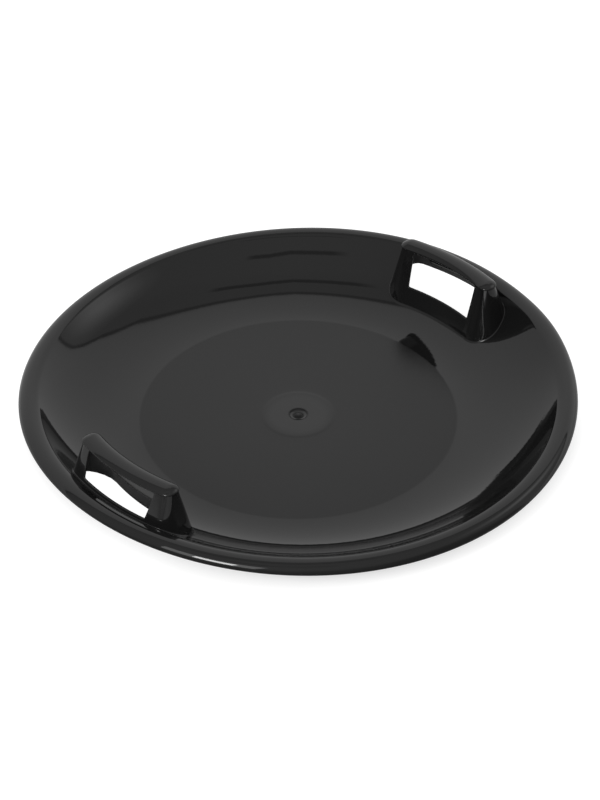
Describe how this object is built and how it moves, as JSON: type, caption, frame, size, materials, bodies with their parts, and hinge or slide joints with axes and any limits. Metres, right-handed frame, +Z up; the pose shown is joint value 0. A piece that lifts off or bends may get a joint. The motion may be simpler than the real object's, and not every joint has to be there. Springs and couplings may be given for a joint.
{
  "type": "saucer sled",
  "caption": "Round plastic saucer snow sled: a shallow dish with a rolled rim, and hollow hand-hold handles with rounded grips on opposite sides of its wall.",
  "frame": {"origin": "centre of the flat sliding face under the dish", "axes": "+Z up out of the bowl, +X through the middle of the right handle, +Y along that handle's grip"},
  "size_m": [0.6, 0.6, 0.0835],
  "materials": {
    "dish_plastic": "glossy black moulded polyethylene, matte on the floor disc",
    "bridge_plastic": "glossy black moulded polyethylene",
    "grip_plastic": "satin black moulded polyethylene"
  },
  "bodies": {
    "root": {"saucer_dish": "dish_plastic", "right_handle_bridge": "bridge_plastic", "right_grip_cap": "grip_plastic", "left_handle_bridge": "bridge_plastic", "left_grip_cap": "grip_plastic"}
  },
  "joints": []
}
